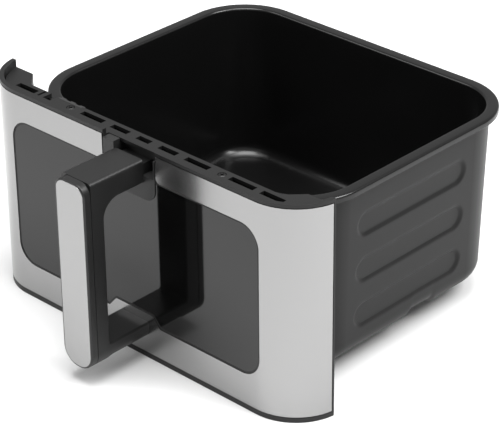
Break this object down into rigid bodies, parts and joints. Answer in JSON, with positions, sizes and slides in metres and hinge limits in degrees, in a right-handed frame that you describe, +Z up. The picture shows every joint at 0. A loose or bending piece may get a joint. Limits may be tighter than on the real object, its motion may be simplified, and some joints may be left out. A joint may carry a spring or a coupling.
{
  "type": "air fryer drawer",
  "caption": "Pull-out drawer of a square air fryer: double-walled non-stick pan with rolled rim, steel-faced front with dark panel, slotted top shelf and closed bar handle.",
  "frame": {"origin": "under the middle of the drawer, on the surface that it stands on", "axes": "+Z up, -Y out of the front face towards the user, +X to the right of a person who looks at the front"},
  "size_m": [0.2894, 0.2888, 0.1545],
  "materials": {
    "nonstick_coating": "semi-gloss black non-stick coating on pressed steel",
    "jacket_paint": "satin dark grey baked coating",
    "foot_rubber": "matt black silicone",
    "bracket_steel": "zinc-plated sheet",
    "fastener_steel": "zinc-plated",
    "brushed_steel": "fine brushed stainless",
    "frame_plastic": "satin dark grey moulding",
    "panel_gloss": "glossy dark smoke panel",
    "gasket_rubber": "black silicone",
    "foam_tape": "double-sided foam tape",
    "cover_plastic": "fine-textured dark grey moulding",
    "tab_plastic": "satin dark grey moulding",
    "shield_aluminium": "plain sheet",
    "black_screw": "black oxide",
    "mount_plastic": "satin dark grey moulding",
    "handle_plastic": "satin near-black moulding",
    "insert_brass": "turned, knurled"
  },
  "bodies": {
    "root": {"inner_bowl": "nonstick_coating", "pan_jacket": "jacket_paint", "floor_feet": "foot_rubber", "pan_bracket": "bracket_steel", "weld_nuts": "fastener_steel", "bracket_screws": "fastener_steel", "steel_fascia": "brushed_steel", "front_frame": "frame_plastic", "front_panel": "panel_gloss", "panel_gasket": "gasket_rubber", "panel_tape": "foam_tape", "rear_cover": "cover_plastic", "switch_tab": "tab_plastic", "heat_shield": "shield_aluminium", "cover_screws": "fastener_steel", "shelf_screws": "black_screw", "handle_mount": "mount_plastic", "mount_screws": "fastener_steel", "handle_shell": "handle_plastic", "grip_cover": "handle_plastic", "grip_plate": "brushed_steel", "grip_plate_tape": "foam_tape", "grip_screws": "fastener_steel", "handle_core": "bracket_steel", "handle_inserts": "insert_brass", "upper_handle_screws": "fastener_steel", "lower_handle_screws": "fastener_steel"}
  },
  "joints": []
}
